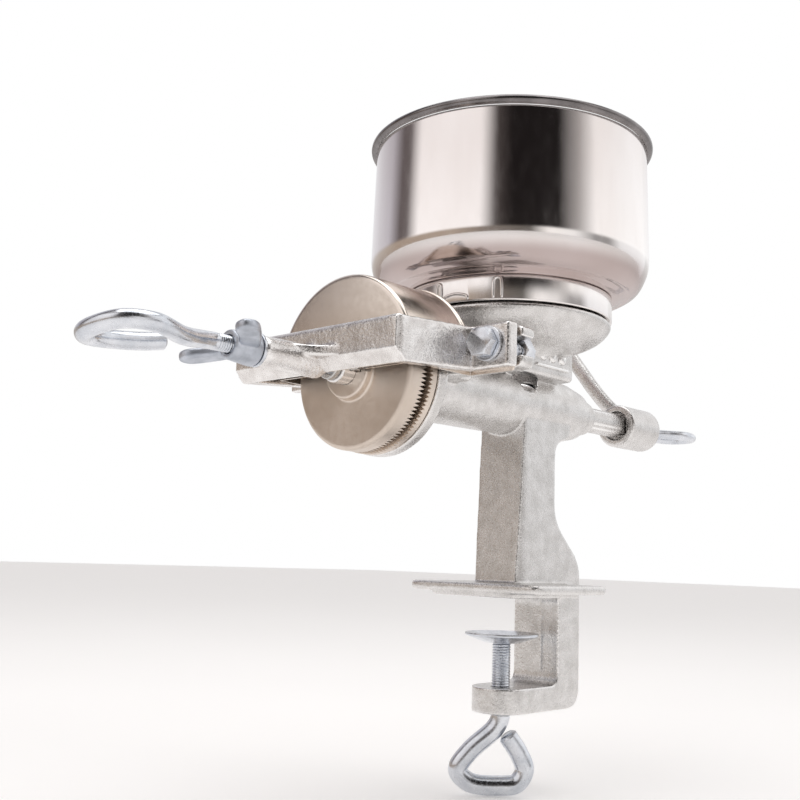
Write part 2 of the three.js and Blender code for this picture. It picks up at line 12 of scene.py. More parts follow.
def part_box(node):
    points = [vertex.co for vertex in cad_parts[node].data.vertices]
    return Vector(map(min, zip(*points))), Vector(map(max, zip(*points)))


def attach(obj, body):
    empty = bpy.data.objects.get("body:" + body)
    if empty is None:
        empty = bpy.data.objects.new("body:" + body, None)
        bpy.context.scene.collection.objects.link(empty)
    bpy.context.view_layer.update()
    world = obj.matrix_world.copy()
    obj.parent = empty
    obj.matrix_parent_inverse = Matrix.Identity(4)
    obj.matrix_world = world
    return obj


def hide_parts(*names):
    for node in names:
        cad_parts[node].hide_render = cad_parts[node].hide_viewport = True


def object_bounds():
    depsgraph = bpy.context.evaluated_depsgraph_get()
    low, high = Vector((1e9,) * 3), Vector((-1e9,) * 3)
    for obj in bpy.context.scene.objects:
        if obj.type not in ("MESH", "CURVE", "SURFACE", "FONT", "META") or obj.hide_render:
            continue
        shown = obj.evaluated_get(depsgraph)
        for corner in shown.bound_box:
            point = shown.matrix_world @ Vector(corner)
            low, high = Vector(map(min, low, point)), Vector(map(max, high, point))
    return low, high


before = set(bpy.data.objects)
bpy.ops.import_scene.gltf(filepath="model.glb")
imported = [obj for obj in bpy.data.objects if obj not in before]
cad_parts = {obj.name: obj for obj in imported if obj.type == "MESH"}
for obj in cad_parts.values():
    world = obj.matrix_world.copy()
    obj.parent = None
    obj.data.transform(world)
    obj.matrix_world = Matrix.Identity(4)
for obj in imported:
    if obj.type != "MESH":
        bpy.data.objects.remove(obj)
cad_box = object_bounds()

MM = 0.001
TURN = 2 * math.pi


def corners(node):
    """Lowest and highest corner of a CAD node, in millimetres."""
    low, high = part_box(node)
    return low / MM, high / MM


# Places taken from the frame
BURR_LOW, BURR_HIGH = corners("turning_burr")
SHAFT_Z = (BURR_LOW.z + BURR_HIGH.z) / 2
SHAFT_R = (corners("crank_washer")[1].z - SHAFT_Z) - 0.5
BODY_LOW, BODY_HIGH = corners("mill_body")
POST_LOW, POST_HIGH = corners("clamp_post")
BOWL_LOW, BOWL_HIGH = corners("hopper_bowl")
COLLAR_LOW, COLLAR_HIGH = corners("hopper_collar")
GUARD_LOW, GUARD_HIGH = corners("burr_guard")
YOKE_LOW, YOKE_HIGH = corners("yoke")
FIXED_LOW, FIXED_HIGH = corners("fixed_burr")
CRANK_LOW, CRANK_HIGH = corners("crank_arm")
PIN_LOW, PIN_HIGH = corners("grip_pin")
GRIP_LOW, GRIP_HIGH = corners("grip_handle")
NEAR_BOLT_LOW, NEAR_BOLT_HIGH = corners("yoke_bolt_near")

GRIP_Y = (PIN_LOW.y + PIN_HIGH.y) / 2
GRIP_Z = (PIN_LOW.z + PIN_HIGH.z) / 2
BOLT_Y = -(NEAR_BOLT_LOW.y + NEAR_BOLT_HIGH.y) / 2
BOLT_Z = (NEAR_BOLT_LOW.z + NEAR_BOLT_HIGH.z) / 2
DISH_RIM_Z = BODY_HIGH.z
DISH_R = COLLAR_HIGH.x - 0.3
SIDE_NAMES = {"near": -1, "far": 1}

# Sizes of single features, in millimetres
BARREL_R = 18.6
BORE_R = 13.6
BURR_HOLE_R = 15
BURR_SCREW_RISE = 24  # from the shaft's axis
BURR_SCREW_R = 3.3
THROAT_R = 18
DISH_DEPTH = 18.4
FOOT_TOP = 7.6
SHEET = 1.2  # thickness of the bowl and of the hood
BEAD_R = 2.4  # the bowl's rolled rim
BOLT_R = 3.9
BOLT_HOLE_R = 4.6
BOLT_FLATS = 13
BOLT_HEAD = 6.2
ADJUSTER_R = 4.1
ADJUSTER_HOLE_R = 4.5
FINE_PITCH = 1.25  # threads of the adjuster and of the yoke's bolts
CLAMP_SCREW_R = 5.4
CLAMP_PITCH = 1.5
THUMB_SCREW_R = 3.2
CRANK_HUB_R = 14.2
SQUARE_HALF = 5.5  # the shaft's squared end
GRIP_PIN_R = 3.9


# Mesh tools

def build(name, points, faces):
    """A mesh object from millimetre points, with doubles merged and its faces turned outwards."""
    mesh = bpy.data.meshes.new(name)
    mesh.from_pydata([Vector(p) * MM for p in points], [], faces)
    bm = bmesh.new()
    bm.from_mesh(mesh)
    bmesh.ops.remove_doubles(bm, verts=bm.verts, dist=1e-6)
    bmesh.ops.recalc_face_normals(bm, faces=bm.faces)
    bm.to_mesh(mesh)
    bm.free()
    obj = bpy.data.objects.new(name, mesh)
    bpy.context.scene.collection.objects.link(obj)
    return obj


def settle(obj):
    """Applies an object's modifiers to its mesh."""
    graph = bpy.context.evaluated_depsgraph_get()
    old = obj.data
    mesh = bpy.data.meshes.new_from_object(obj.evaluated_get(graph))
    obj.modifiers.clear()
    obj.data = mesh
    bpy.data.meshes.remove(old)
    return obj


def combine(operation, base, tools):
    """Applies each tool to the base in turn, and removes the tool."""
    for tool in tools:
        step = base.modifiers.new("combine", "BOOLEAN")
        step.operation = operation
        step.solver = "MANIFOLD"
        step.object = tool
        settle(base)
        bpy.data.objects.remove(tool)
    return base


def joined(*solids):
    return combine("UNION", solids[0], solids[1:])


def cut(base, *tools):
    return combine("DIFFERENCE", base, tools)


def rounded(outline, radius, closed=False, steps=5):
    """The outline with each corner drawn as a curve that starts up to radius before it."""
    points = [Vector(p) for p in outline]
    result = []
    for i, corner in enumerate(points):
        if not closed and i in (0, len(points) - 1):
            result.append(corner)
            continue
        before, after = points[i - 1] - corner, points[(i + 1) % len(points)] - corner
        start = corner + before.normalized() * min(radius, 0.45 * before.length)
        end = corner + after.normalized() * min(radius, 0.45 * after.length)
        for k in range(steps + 1):
            t = k / steps
            result.append(start.lerp(corner, t).lerp(corner.lerp(end, t), t))
    return result


def on_axis(axis, centre, r, angle, along):
    u, v = r * math.cos(angle), r * math.sin(angle)
    return Vector(centre) + Vector({"X": (along, u, v), "Z": (u, v, along)}[axis])


def lathe(name, profile, axis="X", centre=None, sides=96, ripple=None):
    """Turns (radius, distance) points about an axis. The profile ends on the axis or closes on itself."""
    centre = centre or ((0, 0, SHAFT_Z) if axis == "X" else (0, 0, 0))
    ring = len(profile)
    points, faces = [], []
    for i in range(sides):
        angle = TURN * i / sides
        for j, (r, along) in enumerate(profile):
            extra = ripple(j, angle) if ripple else 0
            points.append(on_axis(axis, centre, r, angle, along + extra))
        for j in range(ring - 1):
            a, b = i * ring + j, (i + 1) % sides * ring + j
            faces.append((a, b, b + 1, a + 1))
    return build(name, points, faces)


def bar(name, radius, x0, x1, y=0.0, z=None, sides=48, edge=0.0, axis="X"):
    """A round bar along X, or along Z with y and z as its place in X and Y."""
    centre = (0, y, SHAFT_Z if z is None else z) if axis == "X" else (y, z or 0, 0)
    profile = [(0, x0), (radius, x0), (radius, x1), (0, x1)]
    return lathe(name, rounded(profile, edge, steps=4) if edge else profile, axis, centre, sides)


def cross_bar(name, radius, half_length, x, edge=0.0, sides=48):
    """A round bar along Y that crosses the shaft's axis."""
    obj = bar(name, radius, -half_length, half_length, y=x, z=0, axis="Z", edge=edge, sides=sides)
    obj.data.transform(Matrix.Translation((0, 0, SHAFT_Z * MM)) @ Matrix.Rotation(math.pi / 2, 4, "X"))
    return obj


def prism(name, outline, axis, low, high, edge=0.0):
    """A flat outline given a thickness along an axis, with its edges rounded."""
    order = {"X": lambda u, v, t: (t, u, v), "Y": lambda u, v, t: (u, t, v), "Z": lambda u, v, t: (u, v, t)}
    put, count = order[axis], len(outline)
    points = [put(u, v, low) for u, v in outline] + [put(u, v, high) for u, v in outline]
    faces = [tuple(range(count)), tuple(range(count, 2 * count))]
    faces += [(i, (i + 1) % count, count + (i + 1) % count, count + i) for i in range(count)]
    obj = build(name, points, faces)
    return soften_edges(obj, edge) if edge else obj


def soften_edges(obj, width, segments=3):
    step = obj.modifiers.new("edge", "BEVEL")
    step.width = width * MM
    step.segments = segments
    step.limit_method = "ANGLE"
    step.angle_limit = math.radians(40)
    return settle(obj)


def block(name, low, high, edge=0.0):
    outline = [(low[0], low[1]), (high[0], low[1]), (high[0], high[1]), (low[0], high[1])]
    return prism(name, outline, "Z", low[2], high[2], edge)


def rectangle(u0, u1, v0, v1, radius):
    return rounded([(u0, v0), (u1, v0), (u1, v1), (u0, v1)], radius, closed=True)


PATH_STEPS = 40  # points between two knots before they are spaced evenly


def smooth_path(knots, spacing):
    """Evenly spaced points along a centripetal Catmull-Rom curve through the knots."""
    pts = [Vector(k) for k in knots]
    pts = [2 * pts[0] - pts[1], *pts, 2 * pts[-1] - pts[-2]]
    fine = []
    for p0, p1, p2, p3 in zip(pts, pts[1:], pts[2:], pts[3:]):
        t1 = (p1 - p0).length ** 0.5
        t2 = t1 + (p2 - p1).length ** 0.5
        t3 = t2 + (p3 - p2).length ** 0.5
        for k in range(PATH_STEPS):
            t = t1 + (t2 - t1) * k / PATH_STEPS
            a1, a2 = p0.lerp(p1, t / t1), p1.lerp(p2, (t - t1) / (t2 - t1))
            a3 = p2.lerp(p3, (t - t2) / (t3 - t2))
            fine.append(a1.lerp(a2, t / t2).lerp(a2.lerp(a3, (t - t1) / (t3 - t1)), (t - t1) / (t2 - t1)))
    fine.append(pts[-2])
    path, left = [fine[0]], spacing
    for a, b in zip(fine, fine[1:]):
        length = (b - a).length
        while left <= length:
            path.append(a.lerp(b, left / length))
            left += spacing
        left -= length
    return path


def sweep(name, knots, radius, spacing=1.0, sides=20, thread=None, flat=1.0, up=(0, 0, 1)):
    """A bar along a curve. thread is (first, last, pitch, depth), in lengths from the start."""
    path = smooth_path(knots, spacing)
    across = (path[1] - path[0]).cross(Vector(up)).normalized()
    if across.length < 0.5:
        across = Vector((1, 0, 0))
    points, faces = [], []
    count = len(path)
    for i, centre in enumerate(path):
        tangent = (path[min(i + 1, count - 1)] - path[max(i - 1, 0)]).normalized()
        across = (across - tangent * across.dot(tangent)).normalized()
        other = tangent.cross(across)
        along = i * spacing
        from_end = min(along, (count - 1) * spacing - along)
        chamfer = min(1.0, 0.72 + 0.28 * from_end / (0.22 * radius))
        for j in range(sides):
            angle = TURN * j / sides
            r = radius * chamfer
            if thread and thread[0] < along < thread[1]:
                fade = min(1.0, (along - thread[0]) / thread[2], (thread[1] - along) / thread[2])
                wave = abs(((along / thread[2] - j / sides) % 1.0) * 2 - 1)
                r -= thread[3] * fade * wave
            points.append(centre + across * (r * math.cos(angle)) + other * (r * flat * math.sin(angle)))
    for i in range(count - 1):
        for j in range(sides):
            k = (j + 1) % sides
            faces.append((i * sides + j, i * sides + k, (i + 1) * sides + k, (i + 1) * sides + j))
    faces += [tuple(range(sides)), tuple((count - 1) * sides + j for j in range(sides))]
    return build(name, points, faces)


def cast(obj, voxel, passes, grain=0.0, grain_size=2.6):
    """Makes sharp solids look cast: one skin with filleted corners and a fine uneven surface."""
    skin = obj.modifiers.new("skin", "REMESH")
    skin.mode = "VOXEL"
    skin.voxel_size = voxel * MM
    ease = obj.modifiers.new("ease", "SMOOTH")
    ease.factor = 0.5
    ease.iterations = passes
    if grain:
        slow_waves = (grain_size * 5, grain * 0.35)
        for size, height in ((grain_size, grain), slow_waves):
            texture = bpy.data.textures.new("sand", "CLOUDS")
            texture.noise_scale = size * MM
            texture.noise_depth = 2
            sand = obj.modifiers.new("sand", "DISPLACE")
            sand.texture = texture
            sand.texture_coords = "LOCAL"
            sand.strength = height * MM
    return settle(obj)


def finish(obj, name, body, material, slot, *nodes, sharp=None):
    """Names a piece, gives it its material and shading, and ties it to its CAD body and nodes. The slot
    argument is not used.
    """
    obj.name = name
    obj.data.name = name
    obj.data.materials.clear()
    obj.data.materials.append(material)
    obj.data.shade_smooth()
    if sharp:
        obj.data.set_sharp_from_angle(angle=math.radians(sharp))
    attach(obj, body)
    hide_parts(*nodes)
    return obj


# Materials

def noise_node(tree, coordinates, size, detail=3.0, stretch=(1, 1, 1)):
    mapping = tree.nodes.new("ShaderNodeMapping")
    mapping.inputs["Scale"].default_value = stretch
    texture = tree.nodes.new("ShaderNodeTexNoise")
    texture.inputs["Scale"].default_value = 1 / (size * MM)
    texture.inputs["Detail"].default_value = detail
    tree.links.new(coordinates, mapping.inputs["Vector"])
    tree.links.new(mapping.outputs["Vector"], texture.inputs["Vector"])
    return texture.outputs["Fac"]


def maths(tree, operation, a, b):
    node = tree.nodes.new("ShaderNodeMath")
    node.operation = operation
    for socket, value in zip(node.inputs, (a, b)):
        if isinstance(value, (int, float)):
            socket.default_value = value
        else:
            tree.links.new(value, socket)
    return node.outputs[0]


def ramp(tree, factor, stops):
    """A colour that runs through (position, colour) stops as factor runs from 0 to 1."""
    node = tree.nodes.new("ShaderNodeValToRGB")
    elements = node.color_ramp.elements
    while len(elements) < len(stops):
        elements.new(0.5)
    for element, (position, colour) in zip(elements, stops):
        element.position = position
        element.color = (*colour, 1) if len(colour) == 3 else colour
    tree.links.new(factor, node.inputs["Fac"])
    return node.outputs["Color"]


def mixed(tree, factor, a, b, blend="MIX"):
    """Colour a taken towards colour b. Each value is a socket or a constant."""
    node = tree.nodes.new("ShaderNodeMix")
    node.data_type = "RGBA"
    node.blend_type = blend
    for key, value in (("Factor", factor), ("A", a), ("B", b)):
        if isinstance(value, bpy.types.NodeSocket):
            tree.links.new(value, node.inputs[key])
        else:
            node.inputs[key].default_value = value
    return node.outputs["Result"]


def between(tree, factor, low, high):
    """A value that runs from low to high as factor runs from 0.3 to 0.7."""
    node = tree.nodes.new("ShaderNodeMapRange")
    for socket, value in (("From Min", 0.3), ("From Max", 0.7), ("To Min", low), ("To Max", high)):
        node.inputs[socket].default_value = value
    tree.links.new(factor, node.inputs["Value"])
    return node.outputs["Result"]


def surface(name, dark, light, rough, bumps, blotch=14.0, metallic=1.0, stretch=(1, 1, 1), edge_wear_and_glint=None):
    """A material whose colour and roughness wander over it. bumps holds (size, height) in millimetres,
    stretch draws the pattern out along an axis, and the edge colour lightens convex corners: partly real
    wear, partly a painted highlight."""
    material = bpy.data.materials.new(name)
    material.use_nodes = True
    tree = material.node_tree
    shader = tree.nodes["Principled BSDF"]
    shader.inputs["Metallic"].default_value = metallic
    coordinates = tree.nodes.new("ShaderNodeTexCoord").outputs["Object"]
    patches = noise_node(tree, coordinates, blotch, 4, stretch)
    colour = ramp(tree, patches, [(0.32, dark), (0.68, light)])
    fine = noise_node(tree, coordinates, blotch / 7, 5, stretch)
    roughness = between(tree, fine, *rough)
    if edge_wear_and_glint:
        # Painted highlight: convex corners found by pointiness are lightened towards the edge colour, partly
        # real wear and partly a glint painted into the colour.
        pointed = tree.nodes.new("ShaderNodeNewGeometry").outputs["Pointiness"]
        wear_and_glint_mask = ramp(tree, pointed, [(0.51, (0, 0, 0)), (0.56, (1, 1, 1))])
        colour = mixed(tree, wear_and_glint_mask, colour, (*edge_wear_and_glint, 1))
        roughness = maths(tree, "SUBTRACT", roughness, maths(tree, "MULTIPLY", wear_and_glint_mask, 0.12))
    tree.links.new(colour, shader.inputs["Base Color"])
    tree.links.new(roughness, shader.inputs["Roughness"])
    height = 0.0
    for size, depth in bumps:
        layer = noise_node(tree, coordinates, size, 3, stretch)
        height = maths(tree, "ADD", maths(tree, "MULTIPLY", layer, depth * MM), height)
    bump = tree.nodes.new("ShaderNodeBump")
    bump.inputs["Distance"].default_value = 1.0
    tree.links.new(height, bump.inputs["Height"])
    tree.links.new(bump.outputs["Normal"], shader.inputs["Normal"])
    return material


def paint_reflection_below(material, z, blend, reflection_tint):
    """Tints a material darker below a height: a painted dark reflection on the bowl's shoulder, standing in
    for the dark surroundings it would mirror.
    """
    tree = material.node_tree
    shader = tree.nodes["Principled BSDF"]
    colour = shader.inputs["Base Color"].links[0].from_socket
    split = tree.nodes.new("ShaderNodeSeparateXYZ")
    tree.links.new(tree.nodes.new("ShaderNodeTexCoord").outputs["Object"], split.inputs[0])
    lower = tree.nodes.new("ShaderNodeMapRange")
    lower.interpolation_type = "SMOOTHSTEP"
    for socket, value in (("From Min", (z + blend) * MM), ("From Max", (z - blend) * MM)):
        lower.inputs[socket].default_value = value
    tree.links.new(split.outputs["Z"], lower.inputs["Value"])
    reflection_toned = mixed(tree, lower.outputs["Result"], colour, (*reflection_tint, 1), "MULTIPLY")
    tree.links.new(reflection_toned, shader.inputs["Base Color"])


# The castings' edge colour lightens their corners: partly wear, partly a painted highlight.
CAST_TIN = surface("cast_tin", (0.62, 0.605, 0.59), (0.75, 0.735, 0.725), (0.22, 0.36),
                   [(1.4, 0.20), (0.65, 0.08)], blotch=7, edge_wear_and_glint=(0.93, 0.92, 0.91))
ROUGH_TIN = surface("rough_cast_tin", (0.68, 0.65, 0.63), (0.88, 0.86, 0.845), (0.2, 0.34),
                    [(1.9, 0.26), (0.8, 0.10)], blotch=7, edge_wear_and_glint=(0.95, 0.94, 0.93))
BRIGHT_SHEET = surface("bright_sheet", (0.86, 0.82, 0.80), (0.93, 0.90, 0.89), (0.11, 0.18),
                       [(9.0, 0.012), (0.6, 0.0012)], blotch=30, stretch=(1, 1, 0.35))
BOWL_SHEET = surface("bowl_sheet", (0.88, 0.84, 0.82), (0.95, 0.92, 0.91), (0.08, 0.15),
                     [(9.0, 0.012), (0.6, 0.0012)], blotch=30, stretch=(1, 1, 0.35))
# Painted reflection: the bowl's shoulder is tinted mauve-brown below a height, as if it mirrored dark
# surroundings.
paint_reflection_below(BOWL_SHEET, BOWL_LOW.z + 13, 5, (0.56, 0.49, 0.48))
ROLLED_RIM = surface("rolled_rim", (0.15, 0.14, 0.14), (0.26, 0.24, 0.24), (0.16, 0.24), [(2.0, 0.002)])
HOOD_SHEET = surface("hood_sheet", (0.74, 0.66, 0.585), (0.84, 0.76, 0.69), (0.16, 0.26),
                     [(7.0, 0.01), (0.5, 0.001)], blotch=24)
GROUND_TIN = surface("ground_tin", (0.62, 0.535, 0.46), (0.74, 0.655, 0.58), (0.3, 0.42),
                     [(1.2, 0.012), (0.5, 0.006)], blotch=20)
ZINC = surface("zinc", (0.60, 0.63, 0.68), (0.78, 0.80, 0.84), (0.16, 0.3),
               [(1.6, 0.02), (0.5, 0.004)], blotch=8)
DULL_ZINC = surface("dull_zinc", (0.42, 0.45, 0.50), (0.60, 0.63, 0.69), (0.34, 0.5), [(1.1, 0.05)], blotch=6)
STEEL = surface("plain_steel", (0.45, 0.44, 0.43), (0.62, 0.61, 0.60), (0.2, 0.34), [(0.8, 0.006)], blotch=8)
WOOD = surface("turned_wood", (0.20, 0.085, 0.035), (0.46, 0.23, 0.10), (0.34, 0.52), [(1.0, 0.05)],
               blotch=5, metallic=0.0, stretch=(0.12, 1, 1))
WOOD.node_tree.nodes["Principled BSDF"].inputs["Coat Weight"].default_value = 0.35


# Casting of the mill's body, with its post, foot and clamp

LUG = {"x0": -88.0, "x1": -78.0, "half_height": 10.5, "slot": 4.6}
FLANGE = {"radius": 41.5, "x0": BODY_LOW.x, "x1": BODY_LOW.x + 7}
NECK = {"x0": -19.0, "x1": 33.0, "half": 26.0, "foot": SHAFT_Z + 14}
POST = {"top_x": -2.0, "foot_x": -8.0, "back_x": 28.0, "half": 16.2}
SPINE_X = 32.5
JAW_TOP = -50.0


def dish():
    foot = DISH_RIM_Z - DISH_DEPTH
    profile = [(0, foot - 6), (24, foot - 6), (27, foot - 3), (32, foot + 1), (46, foot + 5), (55, foot + 9),
               (DISH_R - 0.5, foot + 14.5), (DISH_R, DISH_RIM_Z), (0, DISH_RIM_Z)]
    return lathe("dish", rounded(profile, 4), "Z", sides=128)


def dish_hollow():
    foot, inner = DISH_RIM_Z - DISH_DEPTH, DISH_R - 3.5
    profile = [(0, SHAFT_Z), (THROAT_R, SHAFT_Z), (THROAT_R, foot + 4), (49, foot + 9.5),
               (inner, foot + 14.5),
               (inner, DISH_RIM_Z + 1), (0, DISH_RIM_Z + 1)]
    return lathe("hollow", rounded(profile, 3), "Z", sides=96)


def barrel():
    x0, x1 = FLANGE["x0"] + 1, BODY_HIGH.x - 13
    snout = 11
    profile = [(0, x0), (BARREL_R + 0.6, x0), (BARREL_R + 0.6, x0 + 30), (BARREL_R, x1 - 18),
               (BARREL_R - 3.4, x1),
               (snout + 0.6, x1 + 0.5), (snout, x1 + 2), (snout, BODY_HIGH.x), (0, BODY_HIGH.x)]
    return lathe("barrel", rounded(profile, 1.6))


def upright_outline():
    """Side view of the post, the spine and the clamp's jaw, with X across and Z up."""
    back, low = POST_HIGH.x, POST_LOW.z
    top = SHAFT_Z - 7
    post_back = rounded([(back, 0), (back, 20), (POST["back_x"], 44), (POST["back_x"], 72),
                         (POST["back_x"], 90), (POST["back_x"] + 15, 94), (POST["back_x"] + 15, top)], 11)
    throat = rounded([(POST["foot_x"], 1), (SPINE_X, 1), (SPINE_X, JAW_TOP), (-POST["half"], JAW_TOP)], 6)
    jaw = rounded([(-POST["half"], low), (back, low), (back, 0)], 12)
    return [(POST["top_x"], top), *throat, *jaw, *post_back[1:]]


def upright():
    half = POST["half"]
    side = prism("upright", upright_outline(), "Y", -half, half)
    end = [(half * math.cos(a), half * math.sin(a)) for a in
           (math.radians(90 + 6 * k) for k in range(31))]
    plan = [(POST_HIGH.x + 1, -half - 1), (POST_HIGH.x + 1, half + 1), (0, half + 1), *end, (0, -half - 1)]
    return combine("INTERSECT", side, [prism("plan", plan, "Z", POST_LOW.z - 1, SHAFT_Z)])


def foot_plate():
    half = POST_HIGH.y
    x0, x1 = POST_LOW.x, 41
    plate = prism("plate", rectangle(x0, x1, -half, half, 8), "Z", 2.4, FOOT_TOP, 1.6)
    land = prism("land", rectangle(x0 + 2, SPINE_X + 3, -30, 30, 5), "Z", 0, 3.5, 0.6)
    return joined(plate, land)


def maker_plate():
    """Plain raised ornament on the neck's near side: three round studs with a bar under them."""
    y = -NECK["half"]
    mid_x, mid_z = (NECK["x0"] + NECK["x1"]) / 2 + 3, NECK["foot"] + 10
    outline = rectangle(mid_x - 16, mid_x + 15, mid_z - 5, mid_z - 3.2, 0.8)
    solids = [prism("bar", outline, "Y", y - 1.3, y + 1, 0.4)]
    for k in (-1, 0, 1):
        dome = [(0, -1), (3.4, -1), (3.4, 0.5), (2.4, 1.3), (1.2, 1.6), (0, 1.7)]
        stud = lathe("stud", dome, "Z", sides=28)
        turn = Matrix.Rotation(math.pi / 2, 4, "X")
        stud.data.transform(Matrix.Translation(Vector((mid_x + 9.5 * k, y, mid_z + 2)) * MM) @ turn)
        solids.append(stud)
    return solids


def lug_slots():
    tools = []
    for side in SIDE_NAMES.values():
        tip = side * (BODY_HIGH.y + 2)
        y0, y1 = sorted((side * BOLT_Y, tip))
        half = LUG["slot"]
        tools.append(block("slot", (LUG["x0"] - 1, y0, BOLT_Z - half), (LUG["x1"] + 1, y1, BOLT_Z + half)))
        tools.append(bar("slot", half, LUG["x0"] - 1, LUG["x1"] + 1, side * BOLT_Y, BOLT_Z))
    return tools


def body_casting():
    neck = prism("neck", rectangle(NECK["x0"], NECK["x1"], -NECK["half"], NECK["half"], 5), "Z",
                 NECK["foot"], DISH_RIM_Z - 14, 2.5)
    flange = bar("flange", FLANGE["radius"], FLANGE["x0"], FLANGE["x1"], edge=1.2, sides=96)
    half = LUG["half_height"]
    lugs = prism("lugs", rectangle(-BODY_HIGH.y, BODY_HIGH.y, BOLT_Z - half, BOLT_Z + half, 4), "X",
                 LUG["x0"], LUG["x1"], 1.2)
    lug_root = block("root", (LUG["x1"] - 1, -30, BOLT_Z - half), (LUG["x1"] + 12, 30, BOLT_Z + half - 2), 3)
    mould_line = block("line", (SPINE_X - 0.5, -4.4, JAW_TOP + 8), (SPINE_X + 1, -3.4, -1), 0.3)
    solid = joined(barrel(), dish(), neck, flange, lugs, lug_root, upright(), foot_plate(), mould_line)
    bore = bar("bore", BORE_R, BODY_LOW.x - 1, 50)
    journal = bar("journal", SHAFT_R + 0.3, 49, BODY_HIGH.x + 1)
    spout = bar("spout", BURR_HOLE_R + 0.5, FLANGE["x0"] - 1, FLANGE["x1"] + 4)
    screw_hole = bar("hole", CLAMP_SCREW_R + 0.3, POST_LOW.z - 1, JAW_TOP + 1, axis="Z")
    solid = cut(solid, dish_hollow(), bore, journal, spout, screw_hole, *lug_slots())
    cast(solid, 0.75, 5, grain=0.14)
    solid = joined(solid, *maker_plate())
    return finish(solid, "body_casting", "frame", CAST_TIN, "tinned_casting", "mill_body", "clamp_post")


# Hopper

BOWL_SIDES = 160


def bowl():
    top, neck_z = BOWL_HIGH.z - 2 * BEAD_R, BOWL_LOW.z
    neck = COLLAR_HIGH.x + 1
    wall_top = BOWL_HIGH.x - BEAD_R - SHEET
    wall_foot, shoulder = wall_top + 1.4, neck_z + 16.7
    outer = rounded([(neck - 6, neck_z), (neck + 1.5, neck_z), (neck + 7, neck_z + 2.2),
                     (neck + 9.5, neck_z + 2.0), (wall_foot - 5, neck_z + 5.6), (wall_foot, shoulder),
                     (wall_top, top)], 5, steps=8)
    inner = rounded([(wall_top - SHEET, top), (wall_foot - SHEET, shoulder), (wall_foot - 6, neck_z + 6.9),
                     (neck + 8.7, neck_z + 3.4), (neck, neck_z + SHEET), (neck - 6, neck_z + SHEET)],
                    4, steps=8)
    bowl_wall = lathe("bowl", [*outer, *inner, outer[0]], "Z", sides=BOWL_SIDES)
    return finish(bowl_wall, "hopper_bowl_sheet", "hopper", BOWL_SHEET, "bright_sheet", "hopper_bowl",
                  sharp=50)


def rim():
    """Wire-edged rim, rolled outwards from the top of the wall."""
    ring, z, steps = BOWL_HIGH.x - BEAD_R, BOWL_HIGH.z - BEAD_R, 20
    circle = [(ring + BEAD_R * math.cos(TURN * k / steps), z + BEAD_R * math.sin(TURN * k / steps))
              for k in range(steps)]
    ring = lathe("rim", [*circle, circle[0]], "Z", sides=BOWL_SIDES)
    return finish(ring, "hopper_rim", "hopper", ROLLED_RIM, "bright_sheet", "hopper_bowl")


def bayonet_bead(angle, wide, z0, z1):
    """A raised bead in the shape of an n on the collar's band."""
    r = COLLAR_HIGH.x
    half = wide / r / 2

    def at(turn, z):
        return (r * math.cos(turn), r * math.sin(turn), z)

    mid = (z0 + z1) / 2
    knots = [at(angle - half, z0), at(angle - half, mid), at(angle - 0.7 * half, z1 - 0.8), at(angle, z1),
             at(angle + 0.7 * half, z1 - 0.8), at(angle + half, mid), at(angle + half, z0)]
    return sweep("bead", knots, 0.85, spacing=0.5, sides=12)


def collar():
    sheet, depth = 1.4, 4.5
    low, top, r = COLLAR_LOW.z + depth, COLLAR_HIGH.z, COLLAR_HIGH.x
    spigot = r - 5.5
    profile = [(spigot - sheet, low - depth), (spigot, low - depth), (spigot, low), (r, low), (r, top),
               (r - sheet, top), (r - sheet, low + sheet), (spigot - sheet, low + sheet)]
    ring = rounded(profile, 0.9, closed=True, steps=4)
    band = lathe("collar", [*ring, ring[0]], "Z", sides=BOWL_SIDES)
    beads = []
    for half_turn in (0, math.pi):
        near = math.radians(212.5) + half_turn
        beads.append(bayonet_bead(near, 4.6, low + 1.2, top - 1.4))
        beads.append(bayonet_bead(near - math.radians(33), 3.4, low + 1.2, top - 2.4))
        beads.append(bayonet_bead(near - math.radians(23), 15, low + 0.8, low + 4.6))
    return finish(joined(band, *beads), "hopper_collar_band", "hopper", BRIGHT_SHEET, "bright_sheet",
                  "hopper_collar", sharp=50)


# Hood, burrs and auger

def hood():
    x0, x1, r = GUARD_LOW.x, GUARD_HIGH.x, GUARD_HIGH.z - SHAFT_Z
    hole = 17
    outer = rounded([(hole, x0), (r, x0), (r, x1 - 2), (r + 1.2, x1 - 0.6), (r + 1.2, x1)], 3.2, steps=7)
    inner = rounded([(r, x1), (r - SHEET, x1 - 1), (r - SHEET, x0 + SHEET), (hole, x0 + SHEET)], 2, steps=7)
    shell = lathe("hood", [*outer, *inner, outer[0]], sides=144)
    shell = cut(shell, block("half", (x0 - 1, -r - 3, SHAFT_Z - r - 3), (x1 + 1, r + 3, SHAFT_Z - 2)))
    tabs = []
    for side in SIDE_NAMES.values():
        y0, y1 = sorted((side * (r - 1), side * GUARD_HIGH.y))
        tab = prism("tab", rectangle(y0, y1, SHAFT_Z - 2, BOLT_Z + 11, 2), "X", x1 - SHEET, x1 - 0.05)
        tabs.append(cut(tab, bar("hole", BOLT_HOLE_R, x1 - 3, x1 + 1, side * BOLT_Y, BOLT_Z)))
    return finish(joined(shell, *tabs), "burr_hood", "frame", HOOD_SHEET, "bright_sheet", "burr_guard",
                  sharp=40)


TEETH = 120


def tooth_ripple(rows, depth):
    """Saw teeth cut in a burr's face. rows maps a profile point to its share of the full depth."""
    def ripple(j, angle):
        wave = abs((angle * TEETH / TURN % 1.0) * 2 - 1)
        return depth * rows.get(j, 0) * wave
    return ripple


